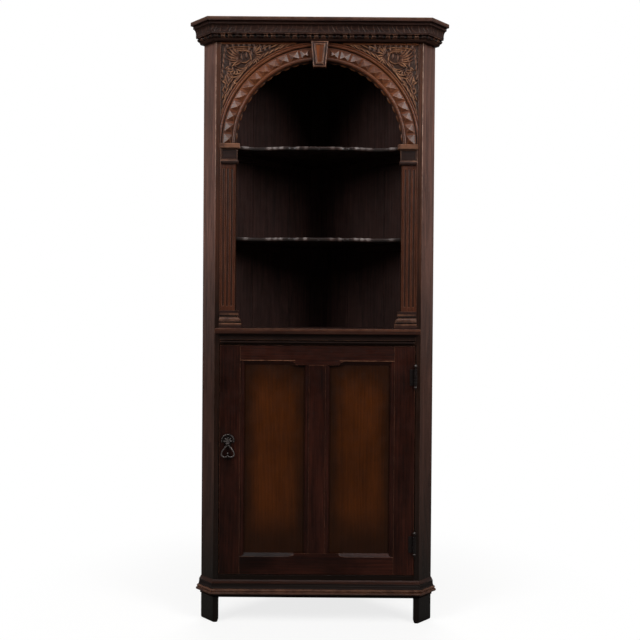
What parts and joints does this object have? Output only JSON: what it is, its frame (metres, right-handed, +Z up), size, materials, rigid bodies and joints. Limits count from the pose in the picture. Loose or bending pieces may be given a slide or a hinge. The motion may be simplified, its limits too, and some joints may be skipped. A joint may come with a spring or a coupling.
{
  "type": "corner cupboard",
  "caption": "Corner cupboard in dark carved oak: an arched display recess with shaped shelves between fluted pilasters, over a panelled door with a drop handle.",
  "frame": {"origin": "on the floor, under the middle of the whole piece: half way across it and half way from the cornice's front edge to the rear corner", "axes": "+Z up, the front faces -Y, the rear corner points to +Y, +X to the right as seen from the front"},
  "size_m": [0.7668, 0.44, 1.78],
  "materials": {
    "oak_frame": "satin",
    "oak_side": "satin",
    "oak_cornice": "satin",
    "oak_arch": "satin",
    "oak_pilaster": "satin",
    "oak_amber": "satin",
    "oak_moulding": "satin",
    "oak_shelf": "satin",
    "oak_inside": "matte",
    "oak_door": "satin",
    "oak_panel": "satin",
    "hinge_steel": "aged",
    "catch_steel": "satin brown",
    "handle_iron": "blackened"
  },
  "bodies": {
    "cabinet": {"face_stile_left": "oak_frame", "face_stile_right": "oak_frame", "side_stile_left": "oak_side", "side_stile_right": "oak_side", "rear_post": "oak_inside", "back_wall_left": "oak_inside", "back_wall_right": "oak_inside", "top_board": "oak_frame", "cornice_front": "oak_cornice", "cornice_left": "oak_cornice", "cornice_right": "oak_cornice", "arch_board": "oak_arch", "keystone": "oak_amber", "upper_stile_left": "oak_frame", "upper_stile_right": "oak_frame", "pilaster_left": "oak_pilaster", "pilaster_right": "oak_pilaster", "capital_left": "oak_amber", "capital_right": "oak_amber", "pilaster_base_left": "oak_amber", "pilaster_base_right": "oak_amber", "waist_moulding": "oak_moulding", "waist_rail": "oak_frame", "display_floor": "oak_shelf", "lower_shelf": "oak_shelf", "upper_shelf": "oak_shelf", "cupboard_shelf": "oak_inside", "cupboard_floor": "oak_inside", "bottom_rail": "oak_frame", "base_moulding_front": "oak_moulding", "base_moulding_left": "oak_moulding", "base_moulding_right": "oak_moulding", "upper_shelf_cleat_left": "oak_inside", "upper_shelf_cleat_right": "oak_inside", "lower_shelf_cleat_left": "oak_inside", "lower_shelf_cleat_right": "oak_inside", "display_floor_cleat_left": "oak_inside", "display_floor_cleat_right": "oak_inside", "cupboard_shelf_cleat_left": "oak_inside", "cupboard_shelf_cleat_right": "oak_inside", "cupboard_floor_cleat_left": "oak_inside", "cupboard_floor_cleat_right": "oak_inside", "upper_hinge_frame_leaf": "hinge_steel", "lower_hinge_frame_leaf": "hinge_steel", "upper_hinge_pin": "hinge_steel", "lower_hinge_pin": "hinge_steel", "catch_body": "catch_steel"},
    "door": {"door_stile_hinge": "oak_door", "door_stile_handle": "oak_door", "door_top_rail": "oak_door", "door_bottom_rail": "oak_door", "door_muntin": "oak_door", "door_panel_left": "oak_panel", "door_panel_right": "oak_panel", "upper_hinge_door_leaf": "hinge_steel", "lower_hinge_door_leaf": "hinge_steel", "handle_plate": "handle_iron", "handle_pivot": "handle_iron", "catch_strike": "catch_steel"},
    "ring": {"handle_ring": "handle_iron"}
  },
  "joints": [
    {"name": "door_swing", "type": "hinge", "parent": "cabinet", "child": "door", "pos_m": [0.291, -0.1753, 0.4845], "axis": [0, 0, 1], "range_deg": [0, 135]},
    {"name": "handle_drop", "type": "hinge", "parent": "door", "child": "ring", "pos_m": [-0.264, -0.176, 0.53217], "axis": [-1, 0, 0], "range_deg": [0, 80]}
  ]
}
